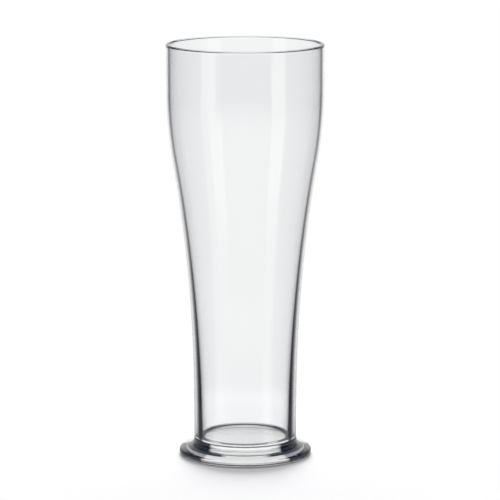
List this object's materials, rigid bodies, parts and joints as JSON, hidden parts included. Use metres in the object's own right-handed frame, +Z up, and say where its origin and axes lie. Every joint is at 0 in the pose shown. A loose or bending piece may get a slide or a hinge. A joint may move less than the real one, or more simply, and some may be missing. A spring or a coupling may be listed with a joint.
{
  "type": "footed beer glass",
  "caption": "Tall clear beer glass with a slim base, swelling wall and straight mouth, fused onto a round pressed foot with a hollow underside.",
  "frame": {"origin": "centre of the ring that the foot stands on, at table height", "axes": "+Z up along the axis of the glass, which is turned all round, so +X and +Y are any two level directions at right angles"},
  "size_m": [0.0854, 0.0854, 0.225],
  "materials": {
    "clear_glass": "clear soda-lime glass, fire-polished and smooth, with a faint cool cast where it is thick"
  },
  "bodies": {
    "root": {"bowl": "clear_glass", "foot": "clear_glass"}
  },
  "joints": []
}
